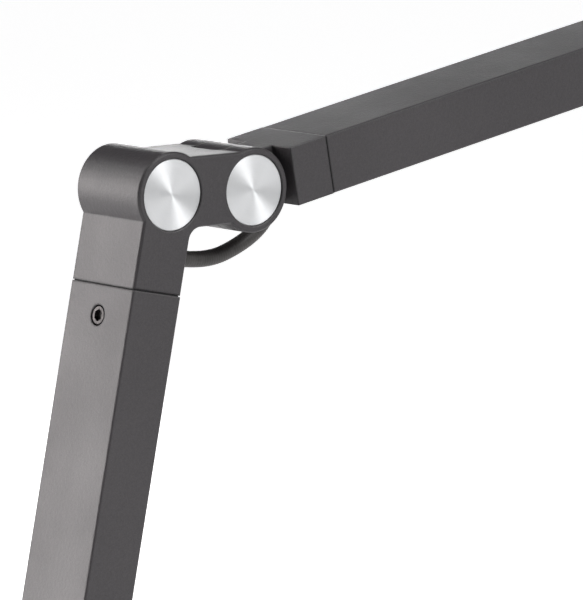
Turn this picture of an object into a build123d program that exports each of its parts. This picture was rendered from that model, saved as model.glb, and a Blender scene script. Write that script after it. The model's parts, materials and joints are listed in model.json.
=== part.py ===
"""Swing arm desk lamp with a desk clamp, two rectangular arms and a bar-shaped LED head.

Millimetres, +Z up. The origin is the centre of the upper clamp pad's underside, where it rests on the desk.
The arms swing in the XZ plane: +X points toward the person at the desk, -Y is the near side.
"""

import os
from math import copysign, cos, pi, radians, sin, tan

from build123d import *

os.makedirs("parts", exist_ok=True)

# ---------------------------------------------------------------- arms
TUBE_DEPTH = 18.0  # arm section in the plane that the arms swing in
TUBE_WIDTH = 29.6  # arm section across that plane
TUBE_WALL = 1.6
TUBE_CORNER = 0.5  # outer corner radius of the tube
LOWER_ARM = 390.0  # shoulder pivot to the elbow bracket's fixed barrel
UPPER_ARM = 370.0  # elbow pivot to head pivot
LOWER_DIRECTION = 78.25  # degrees above +X: the lower arm leans forward
UPPER_DIRECTION = 10.63  # degrees above +X
SEAM = 0.35  # open line between a tube and its bracket
EDGE = 0.5  # bevel along the castings' outer edges
HALF_WIDTH = TUBE_WIDTH / 2
HALF_DEPTH = TUBE_DEPTH / 2

# ---------------------------------------------------------------- joint barrels
BARREL_RADIUS = 12.73
DISC_RADIUS = 10.67
DISC_THICKNESS = 1.2
DISC_SUNK = 0.35  # how far a disc's face lies inside the barrel's rim
DISC_GAP = 0.1  # radial room round a disc
BARREL_SPACING = 30.97  # fixed barrel to pivot barrel
BARREL_LINE = 99.85  # degrees between the leg and the line through both barrels
WEB_LINE = 101.75  # degrees between the leg and the web's flat top
WEB_ABOVE = 10.73  # web top over the fixed barrel's centre
WEB_BELOW = 10.3
WEB_FILLET = 4.5
LEG_LENGTH = 28.9  # fixed barrel to the end of the leg
CORE_RADIUS = 8.5  # cored-out middle of the fixed barrel
SLOT_HALF = 6.7  # half the slot between the two ears
SLOT_RADIUS = 14.3
BASE_SLOT_RADIUS = 18.2  # deeper, because the lower arm's tongue stands over the base bracket's web
SLOT_CORNER = 2.5
EAR_FLOOR = 10.2  # ear thickness left under the disc pocket, from the middle plane
KNUCKLE_HALF = 6.2
BLOCK_START = 15.71  # pivot to the full-width block of a knuckle bracket
BLOCK_END = 29.61
SPIGOT_LENGTH = 30.0
SPIGOT_GAP = 0.1
CHANNEL_DEPTH = 8.6  # cable channel through the brackets
CHANNEL_WIDTH = 17.0

# ---------------------------------------------------------------- fasteners
BOLT_RADIUS = 4.0
BOLT_HEAD_RADIUS = 6.6
BOLT_HEAD = 2.4
BOLT_SOCKET = 5.0  # across flats
NUT_SIZE = 13.0  # across flats
NUT_HEIGHT = 2.2
SPRING_HEIGHT = 0.6
SPRING_RADIUS = 8.0
THREAD_GAP = 0.05
HOLE_GAP = 0.1
BUSH_WALL = 1.0
FRICTION_THICKNESS = 0.4
FRICTION_RADIUS = 11.0
SET_SCREW_RADIUS = 3.0
SET_SCREW_LENGTH = 4.5
SET_SCREW_SOCKET = 3.0
SET_SCREW_FROM_SEAM = 9.3
SET_SCREW_HOLE_GAP = 0.16
SET_SCREW_SUNK = 0.15
BASE_SCREW_LENGTH = 10.0

# ---------------------------------------------------------------- cable
CABLE_RADIUS = 2.5
CABLE_HOLE = 2.8
ENTRY_HOLE = 3.3  # roomier hole in a knuckle bracket, where the loop bends as the arm moves
CABLE_EXIT = 18.1  # fixed barrel to the hole in the leg's side
CABLE_ENTRY = 16.2  # pivot to the hole in a knuckle bracket's underside
LEAD_RADIUS = 1.5  # cable inside the arms, without its outer sleeve
HEAD_CABLE_RADIUS = 1.75
BEND_SHARE = 0.45  # share of the shorter run beside a corner that the cable's bend takes up
CABLE_FROM_EARS = 8.0  # ear slot to the cable hole in the head bracket

# ---------------------------------------------------------------- clamp
JAW_HALF_LENGTH = 30.0
JAW_THICKNESS = 8.0
PAD_THICKNESS = 2.5
SPINE_THICKNESS = 9.0
CLAMP_WIDTH = 44.0
CLAMP_THROAT = 64.0  # origin down to the lower jaw
LOWER_JAW_THICKNESS = 12.0
LOWER_JAW_REACH = 15.0
BOSS_RADIUS = 11.0
BOSS_RISE = 5.0
SCREW_RADIUS = 5.0
SCREW_LENGTH = 92.0
INSERT_RADIUS = 8.0
DESK_THICKNESS = 30.0  # desk that the clamp is drawn on
FOOT_RADIUS = 16.0
FOOT_HEIGHT = 9.0
FOOT_PAD = 2.0
BALL_RADIUS = 4.2
KNOB_RADIUS = 17.0
KNOB_HEIGHT = 15.0
KNOB_LOBES = 6
KNOB_DIP_OFFSET = 3.5
KNOB_DIP_RADIUS = 7.0
KNOB_EDGE = 1.5
KNOB_FLOOR = 3.0
PAD_MARGIN = 2.6
FOOT_HUB_RADIUS = 8.0
FOOT_PLATE = 3.0
BALL_SOCKET_DEPTH = 2.4
BALL_GAP = 0.1
SCREW_NECK_RADIUS = 3.2
SCREW_NECK = 7.0

# ---------------------------------------------------------------- swivel base
BOSS_TOP = 20.0
SWIVEL_BOSS_RADIUS = 18.0
SPINDLE_RADIUS = 7.0
SWIVEL_BUSH_WALL = 1.5
BUSH_FLANGE_RADIUS = 12.0
BUSH_FLANGE = 1.2
THRUST_RADIUS = 17.5
THRUST_THICKNESS = 0.8
FLANGE_RADIUS = 18.0
FLANGE_THICKNESS = 4.0
RING_THICKNESS = 1.0
RING_RADIUS = 8.8
RING_POCKET_RADIUS = 11.5
RING_POCKET_DEPTH = 3.4
RING_GROOVE = 0.6
RING_OPENING = 5.0
RETAINING_WASHER = 0.8
BASE_LEG = 52.0  # fixed barrel to the bottom of the base bracket's leg
TONGUE_HEIGHT = 12.0  # spindle tongue inside that leg
TONGUE_DEPTH = 12.0
TONGUE_WIDTH = 23.0
INLET_HEIGHT = 32.0  # fixed barrel down to the power inlet
INLET_RADIUS = 4.6
INLET_FLANGE_RADIUS = 6.2
INLET_FLANGE = 1.4
INLET_DEPTH = 9.6
INLET_BORE_RADIUS = 2.8
INLET_BORE_DEPTH = 9.0
INLET_PIN_RADIUS = 0.9

# ---------------------------------------------------------------- head
STEM_RADIUS = 6.0
STEM_ENTRY = 29.5  # head pivot down to the hole where the cable goes into the stem
STEM_COLLAR_RADIUS = 10.0
STEM_COLLAR = 3.0
HEAD_DROP = 38.0  # head pivot down to the housing's top
HEAD_PIN_RADIUS = 5.0
HEAD_BORE_RADIUS = 2.9
HEAD_LENGTH = 400.0
HEAD_DEPTH = 46.0
HEAD_HEIGHT = 14.0
HEAD_WALL = 1.6
HEAD_TOP = 2.4
HEAD_CORNER = 3.0
HEAD_BOSS_RADIUS = 10.0
HEAD_BOSS = 3.6
BOARD_THICKNESS = 1.2
DIFFUSER_THICKNESS = 2.0
LED_COUNT = 36
LED_SIZE = 3.5
LED_HEIGHT = 0.7
CAP_WALL = 2.0
CAP_PLUG = 4.0
HEAD_RING = 0.8
BOARD_CLEARANCE = 0.4
RIB = 1.5
LED_ROW_SPACING = 20.0
TOUCH_PLACE = -46.0  # from the stem toward the near end
TOUCH_LENGTH = 30.0
TOUCH_WIDTH = 13.0
TOUCH_CORNER = 3.0
TOUCH_DEPTH = 0.8
CONTROL_LENGTH = 46.0
CONTROL_WIDTH = 26.0
CONTROL_GAP = 0.5
CHIP_PITCH = 12.0
CHIP_SIZE = 5.0
FLATNESS = 1e-3  # how closely an edge lies on a face to count as on it


# ---------------------------------------------------------------- helpers
def save(builder, name):
    """Label a finished sub-part and write its STEP file."""
    builder.part.label = name
    export_step(builder.part, f"parts/{name}.step")


def side_plane(point, direction):
    """Plane that an arm swings in: local x runs along the arm, the normal points to the near side."""
    angle = radians(direction)
    return Plane(origin=point, x_dir=(cos(angle), 0, sin(angle)), z_dir=(0, -1, 0))


def cross_plane(side, along):
    """Plane across an arm: local x is the width, local y the depth, the normal runs along the arm."""
    return Plane(origin=side.from_local_coords((along, 0, 0)), x_dir=(0, 1, 0), z_dir=side.x_dir)


def face_plane(side, along, aside):
    """Plane lying on an arm's outer face: its normal points away from the arm's middle line."""
    outward = side.y_dir if aside > 0 else -side.y_dir
    return Plane(origin=side.from_local_coords((along, aside, 0)), x_dir=side.x_dir, z_dir=outward)


def hole_through(side, spot, radius, half_length):
    """Cut a round hole across the swing plane, both ways from the middle."""
    with BuildSketch(side) as profile:
        with Locations(spot):
            Circle(radius)
    extrude(profile.sketch, amount=half_length, both=True, mode=Mode.SUBTRACT)


def disc_pockets(side, spot, depth):
    """Cut the pockets in which the two spun discs of a barrel sit, with a fine bevel on each rim."""
    for face, direction in ((side.offset(HALF_WIDTH), -1), (side.offset(-HALF_WIDTH), 1)):
        with BuildSketch(face) as profile:
            with Locations(spot):
                Circle(DISC_RADIUS + DISC_GAP)
        extrude(profile.sketch, amount=direction * depth, mode=Mode.SUBTRACT)


def bevel_faces(builder, side, size):
    """Bevel the outline of a casting on its near and far faces."""
    near = side.offset(HALF_WIDTH).origin.Y
    far = side.offset(-HALF_WIDTH).origin.Y
    rims = [edge for edge in builder.edges() if lies_at(edge, near) or lies_at(edge, far)]
    chamfer(rims, size)


def lies_at(edge, height):
    """Whether an edge lies wholly in the flat face at this Y."""
    box = edge.bounding_box()
    return abs(box.min.Y - height) < FLATNESS and abs(box.max.Y - height) < FLATNESS


def block(side, start, end, width, depth, mode=Mode.ADD):
    """Rectangular length of an arm between two distances along it."""
    with BuildSketch(cross_plane(side, start)) as profile:
        Rectangle(width, depth)
    extrude(profile.sketch, amount=end - start, mode=mode)


def wall_hole(side, along, aside, radius):
    """Cut a hole through one wall of an arm, square to its face."""
    with BuildSketch(face_plane(side, along, aside)) as profile:
        Circle(radius)
    extrude(profile.sketch, amount=-HALF_DEPTH, mode=Mode.SUBTRACT)


def cable_tube(points, radius, name):
    """Solid cable along straight runs joined by tangent arcs; prints its radii, length and volume."""
    radii = []
    for before, corner, after in zip(points, points[1:], points[2:]):
        arriving, leaving = corner - before, after - corner
        turn = radians(arriving.get_angle(leaving))
        radii.append(BEND_SHARE * min(arriving.length, leaving.length) / tan(turn / 2))
    with BuildPart() as cable:
        with BuildLine() as route:
            FilletPolyline(*points, radius=radii)
        wire = route.wires()[0]
        with BuildSketch(Plane(origin=points[0], z_dir=points[1] - points[0])):
            Circle(radius)
        sweep(path=wire)
    expected = pi * radius**2 * wire.length
    listed = " ".join(f"{value:.1f}" for value in radii)
    print(f"{name}: length {wire.length:.1f}, volume {cable.part.volume / expected:.4f}, radii {listed}")
    save(cable, name)


# ---------------------------------------------------------------- places
PIVOT_ALONG = -BARREL_SPACING * cos(radians(BARREL_LINE))
PIVOT_ASIDE = BARREL_SPACING * sin(radians(BARREL_LINE))
BASE_BARREL_HEIGHT = BOSS_TOP + THRUST_THICKNESS + FLANGE_THICKNESS + SEAM + BASE_LEG
TOWARD_BACK = 1  # side of the leg that the web goes to, in the leg's own plane
TOWARD_FRONT = -1

BASE_SIDE = side_plane((0, 0, BASE_BARREL_HEIGHT), 90)
SHOULDER = BASE_SIDE.from_local_coords((PIVOT_ALONG, TOWARD_BACK * PIVOT_ASIDE, 0))
LOWER_SIDE = side_plane(SHOULDER, LOWER_DIRECTION)
FIXED_BARREL = LOWER_SIDE.from_local_coords((LOWER_ARM, 0, 0))
ELBOW_SIDE = side_plane(FIXED_BARREL, LOWER_DIRECTION)
ELBOW = ELBOW_SIDE.from_local_coords((PIVOT_ALONG, TOWARD_FRONT * PIVOT_ASIDE, 0))
UPPER_SIDE = side_plane(ELBOW, UPPER_DIRECTION)
HEAD_PIVOT = UPPER_SIDE.from_local_coords((UPPER_ARM, 0, 0))
HEAD_SIDE = side_plane(HEAD_PIVOT, -90)
print("shoulder", SHOULDER, "elbow", ELBOW, "head pivot", HEAD_PIVOT)


# ---------------------------------------------------------------- castings
def ear_slot(side, pivot, slot_radius):
    """Cut the slot between two ears: round about the pivot, with rounded corners at its back wall."""
    middle = side.from_local_coords((*pivot, 0))
    with BuildSketch(Plane(origin=middle, x_dir=side.x_dir, z_dir=side.y_dir)) as profile:
        Rectangle(slot_radius, 2 * SLOT_HALF, align=(Align.MIN, Align.CENTER))
        fillet(profile.vertices().group_by(Axis.X)[-1], SLOT_CORNER)
    revolve(profile.sketch, axis=Axis(middle, side.z_dir), mode=Mode.SUBTRACT)


def dogleg_casting(builder, side, hand, leg_length, slot_radius):
    """Bracket body: leg, fixed barrel, flat-topped web and a slotted twin-eared pivot barrel."""
    pivot = (PIVOT_ALONG, hand * PIVOT_ASIDE)
    web_turn = hand * (180 - WEB_LINE)
    web_direction = Vector(1, 0, 0).rotate(Axis.Z, web_turn)
    web_up = web_direction.rotate(Axis.Z, -hand * 90)
    web_middle = web_direction * (BARREL_SPACING / 2) + web_up * ((WEB_ABOVE - WEB_BELOW) / 2)
    with BuildSketch(side) as outline:
        with Locations((-leg_length / 2, 0)):
            Rectangle(leg_length, TUBE_DEPTH)
        with Locations((web_middle.X, web_middle.Y)):
            Rectangle(BARREL_SPACING, WEB_ABOVE + WEB_BELOW, rotation=web_turn)
        inner_corner = Vector(-WEB_BELOW, hand * HALF_DEPTH, 0)
        fillet(outline.vertices().sort_by_distance(inner_corner)[0], WEB_FILLET)
        Circle(BARREL_RADIUS)
        with Locations(pivot):
            Circle(BARREL_RADIUS)
    extrude(outline.sketch, amount=HALF_WIDTH, both=True)
    bevel_faces(builder, side, EDGE)
    ear_slot(side, pivot, slot_radius)
    disc_pockets(side, (0, 0), DISC_SUNK + DISC_THICKNESS)
    disc_pockets(side, pivot, HALF_WIDTH - EAR_FLOOR)
    hole_through(side, (0, 0), CORE_RADIUS, HALF_WIDTH)
    hole_through(side, pivot, BOLT_RADIUS + HOLE_GAP, HALF_WIDTH)
    block(side, -leg_length, -CABLE_EXIT + CABLE_HOLE, CHANNEL_WIDTH, CHANNEL_DEPTH, Mode.SUBTRACT)
    wall_hole(side, -CABLE_EXIT, hand * HALF_DEPTH, CABLE_HOLE)


def knuckle_casting(side, entry_side):
    """Bracket body: knuckle that turns between two ears, tongue, and a full-width block."""
    with BuildSketch(side) as profile:
        Circle(BARREL_RADIUS)
        with Locations((BLOCK_START / 2, 0)):
            Rectangle(BLOCK_START, TUBE_DEPTH)
    extrude(profile.sketch, amount=KNUCKLE_HALF, both=True)
    with BuildSketch(cross_plane(side, BLOCK_START)) as profile:
        Rectangle(TUBE_WIDTH, TUBE_DEPTH)
    extrude(profile.sketch, amount=BLOCK_END - BLOCK_START)
    hole_through(side, (0, 0), BOLT_RADIUS + THREAD_GAP + BUSH_WALL, KNUCKLE_HALF)
    block(side, CABLE_ENTRY - CABLE_HOLE, BLOCK_END, 2 * CABLE_HOLE, CHANNEL_DEPTH, Mode.SUBTRACT)
    block(side, BLOCK_START + CABLE_HOLE, BLOCK_END, CHANNEL_WIDTH, CHANNEL_DEPTH, Mode.SUBTRACT)
    wall_hole(side, CABLE_ENTRY, entry_side * HALF_DEPTH, ENTRY_HOLE)


def spigot(side, start, end, screw_aside):
    """Hollow plug that fits inside a tube, with the tapped hole of its set screw."""
    width = TUBE_WIDTH - 2 * TUBE_WALL - 2 * SPIGOT_GAP
    depth = TUBE_DEPTH - 2 * TUBE_WALL - 2 * SPIGOT_GAP
    block(side, start, end, width, depth)
    block(side, start, end, CHANNEL_WIDTH, CHANNEL_DEPTH, Mode.SUBTRACT)
    screw_along = start + copysign(SET_SCREW_FROM_SEAM, end - start)
    wall_hole(side, screw_along, screw_aside * HALF_DEPTH, SET_SCREW_RADIUS + THREAD_GAP)


def arm_tube(side, start, end, screw_spots, screw_aside):
    """Rectangular tube with a hole for each set screw."""
    with BuildSketch(cross_plane(side, start)) as profile:
        RectangleRounded(TUBE_WIDTH, TUBE_DEPTH, TUBE_CORNER)
        Rectangle(TUBE_WIDTH - 2 * TUBE_WALL, TUBE_DEPTH - 2 * TUBE_WALL, mode=Mode.SUBTRACT)
    extrude(profile.sketch, amount=end - start)
    for along in screw_spots:
        wall_hole(side, along, screw_aside * HALF_DEPTH, SET_SCREW_RADIUS + SET_SCREW_HOLE_GAP)


def joint_hardware(name, side, pivot):
    """Shoulder bolt, thin nut, disc spring, friction washers and bush of one pivot barrel."""
    near = side.offset(EAR_FLOOR)
    far = side.offset(-EAR_FLOOR)
    nut_face = EAR_FLOOR + SPRING_HEIGHT
    bolt_end = nut_face + NUT_HEIGHT
    with BuildPart() as bolt:
        with BuildSketch(near):
            with Locations(pivot):
                Circle(BOLT_HEAD_RADIUS)
        extrude(amount=BOLT_HEAD)
        with BuildSketch(near):
            with Locations(pivot):
                Circle(BOLT_RADIUS)
        extrude(amount=-(EAR_FLOOR + bolt_end))
        with BuildSketch(near.offset(BOLT_HEAD)):
            with Locations(pivot):
                RegularPolygon(BOLT_SOCKET / 2, 6, major_radius=False)
        extrude(amount=-BOLT_HEAD / 2, mode=Mode.SUBTRACT)
    save(bolt, f"{name}_bolt")

    with BuildPart() as nut:
        with BuildSketch(side.offset(-nut_face)):
            with Locations(pivot):
                RegularPolygon(NUT_SIZE / 2, 6, major_radius=False)
                Circle(BOLT_RADIUS + THREAD_GAP, mode=Mode.SUBTRACT)
        extrude(amount=-NUT_HEIGHT)
    save(nut, f"{name}_nut")

    with BuildPart() as disc_spring:
        with BuildSketch(far):
            with Locations(pivot):
                Circle(SPRING_RADIUS)
                Circle(BOLT_RADIUS + HOLE_GAP, mode=Mode.SUBTRACT)
        extrude(amount=-SPRING_HEIGHT)
    save(disc_spring, f"{name}_disc_spring")

    with BuildPart() as friction_washers:
        for start in (KNUCKLE_HALF + THREAD_GAP, -KNUCKLE_HALF - THREAD_GAP - FRICTION_THICKNESS):
            with BuildSketch(side.offset(start)):
                with Locations(pivot):
                    Circle(FRICTION_RADIUS)
                    Circle(BOLT_RADIUS + HOLE_GAP, mode=Mode.SUBTRACT)
            extrude(amount=FRICTION_THICKNESS)
    save(friction_washers, f"{name}_friction_washers")

    with BuildPart() as bush:
        with BuildSketch(side):
            with Locations(pivot):
                Circle(BOLT_RADIUS + BUSH_WALL)
                Circle(BOLT_RADIUS + THREAD_GAP, mode=Mode.SUBTRACT)
        extrude(amount=KNUCKLE_HALF, both=True)
    save(bush, f"{name}_bush")


def disc_caps(name, side, spots):
    """Spun metal discs in both faces of each barrel, just inside the rims."""
    with BuildPart() as discs:
        for face, direction in ((HALF_WIDTH - DISC_SUNK, -1), (DISC_SUNK - HALF_WIDTH, 1)):
            with BuildSketch(side.offset(face)):
                with Locations(*spots):
                    Circle(DISC_RADIUS)
            extrude(amount=direction * DISC_THICKNESS)
    save(discs, name)


def set_screws(name, side, spots, aside):
    """Socket set screws that hold one tube on its spigots."""
    with BuildPart() as screws:
        for along in spots:
            face = face_plane(side, along, aside * HALF_DEPTH).offset(-SET_SCREW_SUNK)
            with BuildSketch(face):
                Circle(SET_SCREW_RADIUS)
            extrude(amount=-SET_SCREW_LENGTH)
            with BuildSketch(face):
                RegularPolygon(SET_SCREW_SOCKET / 2, 6, major_radius=False)
            extrude(amount=-SET_SCREW_LENGTH / 2, mode=Mode.SUBTRACT)
    save(screws, name)


# ---------------------------------------------------------------- clamp
LOWER_JAW_TOP = -CLAMP_THROAT
LOWER_JAW_BOTTOM = LOWER_JAW_TOP - LOWER_JAW_THICKNESS
JAW_TOP = PAD_THICKNESS + JAW_THICKNESS
SPINE_BACK = -JAW_HALF_LENGTH - SPINE_THICKNESS
JAW_ROUND = 8.0
SPINE_ROUND = 6.0
THROAT_ROUND = 2.5

with BuildPart() as clamp_frame:
    with BuildSketch(Plane.XZ) as outline:
        with BuildLine():
            Polyline(
                (SPINE_BACK, JAW_TOP),
                (JAW_HALF_LENGTH, JAW_TOP),
                (JAW_HALF_LENGTH, PAD_THICKNESS),
                (-JAW_HALF_LENGTH, PAD_THICKNESS),
                (-JAW_HALF_LENGTH, LOWER_JAW_TOP),
                (LOWER_JAW_REACH, LOWER_JAW_TOP),
                (LOWER_JAW_REACH, LOWER_JAW_BOTTOM),
                (SPINE_BACK, LOWER_JAW_BOTTOM),
                close=True,
            )
        make_face()
        corners = outline.vertices()
        fillet(corners.group_by(Axis.X)[0], SPINE_ROUND)
        throat = [Vector(-JAW_HALF_LENGTH, height, 0) for height in (PAD_THICKNESS, LOWER_JAW_TOP)]
        fillet([outline.vertices().sort_by_distance(corner)[0] for corner in throat], THROAT_ROUND)
    extrude(amount=CLAMP_WIDTH / 2, both=True)
    fillet(clamp_frame.edges().filter_by(Axis.Z).group_by(Axis.X)[-1], JAW_ROUND)
    fillet(
        clamp_frame.edges().filter_by(Axis.Z).filter_by_position(
            Axis.X, LOWER_JAW_REACH - EDGE, LOWER_JAW_REACH + EDGE
        ),
        JAW_ROUND,
    )
    with BuildSketch(Plane.XY.offset(JAW_TOP)):
        Circle(SWIVEL_BOSS_RADIUS)
    extrude(amount=BOSS_TOP - JAW_TOP)
    with BuildSketch(Plane.XY.offset(LOWER_JAW_BOTTOM)):
        Circle(BOSS_RADIUS)
    extrude(amount=LOWER_JAW_THICKNESS + BOSS_RISE)
    with BuildSketch(Plane.XY.offset(PAD_THICKNESS)):
        Circle(SPINDLE_RADIUS + THREAD_GAP + SWIVEL_BUSH_WALL)
    extrude(amount=BOSS_TOP - PAD_THICKNESS, mode=Mode.SUBTRACT)
    with BuildSketch(Plane.XY.offset(PAD_THICKNESS)):
        Circle(RING_POCKET_RADIUS)
    extrude(amount=RING_POCKET_DEPTH, mode=Mode.SUBTRACT)
    with BuildSketch(Plane.XY.offset(BOSS_TOP - BUSH_FLANGE)):
        Circle(BUSH_FLANGE_RADIUS)
    extrude(amount=BUSH_FLANGE, mode=Mode.SUBTRACT)
    with BuildSketch(Plane.XY.offset(LOWER_JAW_BOTTOM)):
        Circle(INSERT_RADIUS)
    extrude(amount=LOWER_JAW_THICKNESS + BOSS_RISE, mode=Mode.SUBTRACT)
save(clamp_frame, "clamp_frame")

with BuildPart() as upper_pad:
    with BuildSketch():
        RectangleRounded(2 * JAW_HALF_LENGTH - 2 * PAD_MARGIN, CLAMP_WIDTH - 2 * PAD_MARGIN, JAW_ROUND)
    extrude(amount=PAD_THICKNESS)
save(upper_pad, "upper_pad")

with BuildPart() as swivel_bush:
    with BuildSketch(Plane.XY.offset(PAD_THICKNESS + RING_POCKET_DEPTH)):
        Circle(SPINDLE_RADIUS + THREAD_GAP + SWIVEL_BUSH_WALL)
    extrude(amount=BOSS_TOP - PAD_THICKNESS - RING_POCKET_DEPTH)
    with BuildSketch(Plane.XY.offset(BOSS_TOP - BUSH_FLANGE)):
        Circle(BUSH_FLANGE_RADIUS)
    extrude(amount=BUSH_FLANGE)
    Hole(SPINDLE_RADIUS + THREAD_GAP)
save(swivel_bush, "swivel_bush")

with BuildPart() as thread_insert:
    with BuildSketch(Plane.XY.offset(LOWER_JAW_BOTTOM)):
        Circle(INSERT_RADIUS)
        Circle(SCREW_RADIUS + THREAD_GAP, mode=Mode.SUBTRACT)
    extrude(amount=LOWER_JAW_THICKNESS + BOSS_RISE)
save(thread_insert, "thread_insert")

# The foot's top rests against the underside of the drawn desk; the screw's ball sits in its socket.
FOOT_TOP = -DESK_THICKNESS
FOOT_PLATE_TOP = FOOT_TOP - FOOT_PAD
FOOT_BOTTOM = FOOT_TOP - FOOT_HEIGHT
BALL_CENTRE = FOOT_BOTTOM + BALL_SOCKET_DEPTH
SCREW_BOTTOM = BALL_CENTRE - SCREW_LENGTH

with BuildPart() as pressure_foot:
    with BuildSketch(Plane.XY.offset(FOOT_BOTTOM)):
        Circle(FOOT_HUB_RADIUS)
    extrude(amount=FOOT_HEIGHT - FOOT_PAD - FOOT_PLATE)
    with BuildSketch(Plane.XY.offset(FOOT_PLATE_TOP - FOOT_PLATE)):
        Circle(FOOT_RADIUS)
    extrude(amount=FOOT_PLATE)
    chamfer(pressure_foot.edges().filter_by(GeomType.CIRCLE).sort_by(SortBy.RADIUS)[-2:], EDGE)
    with BuildSketch(Plane.XY.offset(FOOT_BOTTOM)):
        Circle(BALL_RADIUS + BALL_GAP)
    extrude(amount=BALL_SOCKET_DEPTH, mode=Mode.SUBTRACT)
    with Locations((0, 0, BALL_CENTRE)):
        Sphere(BALL_RADIUS + BALL_GAP, mode=Mode.SUBTRACT)
save(pressure_foot, "pressure_foot")

with BuildPart() as foot_pad:
    with BuildSketch(Plane.XY.offset(FOOT_PLATE_TOP)):
        Circle(FOOT_RADIUS - EDGE)
    extrude(amount=FOOT_PAD)
save(foot_pad, "foot_pad")

with BuildPart() as clamp_screw:
    with Locations((0, 0, BALL_CENTRE)):
        Sphere(BALL_RADIUS)
    with BuildSketch(Plane.XY.offset(BALL_CENTRE)):
        Circle(SCREW_NECK_RADIUS)
    extrude(amount=-SCREW_NECK)
    with BuildSketch(Plane.XY.offset(BALL_CENTRE - SCREW_NECK)):
        Circle(SCREW_RADIUS)
    extrude(amount=SCREW_NECK - SCREW_LENGTH)
    chamfer(clamp_screw.edges().filter_by(GeomType.CIRCLE).group_by(Axis.Z)[0], EDGE)
save(clamp_screw, "clamp_screw")

with BuildPart() as clamp_knob:
    with BuildSketch(Plane.XY.offset(SCREW_BOTTOM - KNOB_FLOOR)):
        Circle(KNOB_RADIUS)
        with PolarLocations(KNOB_RADIUS + KNOB_DIP_OFFSET, KNOB_LOBES):
            Circle(KNOB_DIP_RADIUS, mode=Mode.SUBTRACT)
    extrude(amount=KNOB_HEIGHT)
    fillet(clamp_knob.edges().group_by(Axis.Z)[0], KNOB_EDGE)
    fillet(clamp_knob.edges().group_by(Axis.Z)[-1], KNOB_EDGE)
    with BuildSketch(Plane.XY.offset(SCREW_BOTTOM)):
        Circle(SCREW_RADIUS)
    extrude(amount=KNOB_HEIGHT, mode=Mode.SUBTRACT)
save(clamp_knob, "clamp_knob")

# ---------------------------------------------------------------- swivel base
FLANGE_BOTTOM = BOSS_TOP + THRUST_THICKNESS
FLANGE_TOP = FLANGE_BOTTOM + FLANGE_THICKNESS
SPINDLE_BOTTOM = PAD_THICKNESS + EDGE
RING_BOTTOM = SPINDLE_BOTTOM + RING_THICKNESS / 2

with BuildPart() as thrust_washer:
    with BuildSketch(Plane.XY.offset(BOSS_TOP)):
        Circle(THRUST_RADIUS)
        Circle(SPINDLE_RADIUS + HOLE_GAP, mode=Mode.SUBTRACT)
    extrude(amount=THRUST_THICKNESS)
save(thrust_washer, "thrust_washer")

with BuildPart() as swivel_spindle:
    with BuildSketch(Plane.XY.offset(SPINDLE_BOTTOM)):
        Circle(SPINDLE_RADIUS)
    extrude(amount=FLANGE_BOTTOM - SPINDLE_BOTTOM)
    with BuildSketch(Plane.XY.offset(RING_BOTTOM)):
        Circle(SPINDLE_RADIUS)
        Circle(SPINDLE_RADIUS - RING_GROOVE, mode=Mode.SUBTRACT)
    extrude(amount=RING_THICKNESS, mode=Mode.SUBTRACT)
    with BuildSketch(Plane.XY.offset(FLANGE_BOTTOM)):
        Circle(FLANGE_RADIUS)
    extrude(amount=FLANGE_THICKNESS)
    chamfer(swivel_spindle.edges().filter_by(GeomType.CIRCLE).group_by(Axis.Z)[-1], EDGE)
    with BuildSketch(Plane.XY.offset(FLANGE_TOP)):
        Rectangle(TONGUE_DEPTH, TONGUE_WIDTH)
    extrude(amount=TONGUE_HEIGHT)
    tongue_middle = FLANGE_TOP + SEAM + TONGUE_HEIGHT / 2
    with BuildSketch(Plane.XZ.offset(TONGUE_WIDTH / 2)):
        with Locations((0, tongue_middle)):
            Circle(SET_SCREW_RADIUS + THREAD_GAP)
    extrude(amount=-TONGUE_WIDTH, mode=Mode.SUBTRACT)
save(swivel_spindle, "swivel_spindle")

with BuildPart() as retaining_ring:
    with BuildSketch(Plane.XY.offset(RING_BOTTOM)):
        Circle(RING_RADIUS)
        Circle(SPINDLE_RADIUS - RING_GROOVE, mode=Mode.SUBTRACT)
        with Locations((RING_RADIUS, 0)):
            Rectangle(2 * RING_RADIUS - SPINDLE_RADIUS, RING_OPENING, mode=Mode.SUBTRACT)
    extrude(amount=RING_THICKNESS)
save(retaining_ring, "retaining_ring")

with BuildPart() as retaining_washer:
    with BuildSketch(Plane.XY.offset(RING_BOTTOM + RING_THICKNESS)):
        Circle(RING_POCKET_RADIUS - EDGE)
        Circle(SPINDLE_RADIUS + HOLE_GAP, mode=Mode.SUBTRACT)
    extrude(amount=RETAINING_WASHER)
save(retaining_washer, "retaining_washer")

with BuildPart() as base_bracket:
    dogleg_casting(base_bracket, BASE_SIDE, TOWARD_BACK, BASE_LEG, BASE_SLOT_RADIUS)
    block(BASE_SIDE, -BASE_LEG, TONGUE_HEIGHT - BASE_LEG, TONGUE_WIDTH, TONGUE_DEPTH, Mode.SUBTRACT)
    hole_through(BASE_SIDE, (TONGUE_HEIGHT / 2 - BASE_LEG, 0), SET_SCREW_RADIUS + THREAD_GAP, HALF_WIDTH)
    wall_hole(BASE_SIDE, -INLET_HEIGHT, HALF_DEPTH, INLET_RADIUS)
save(base_bracket, "base_bracket")

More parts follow.
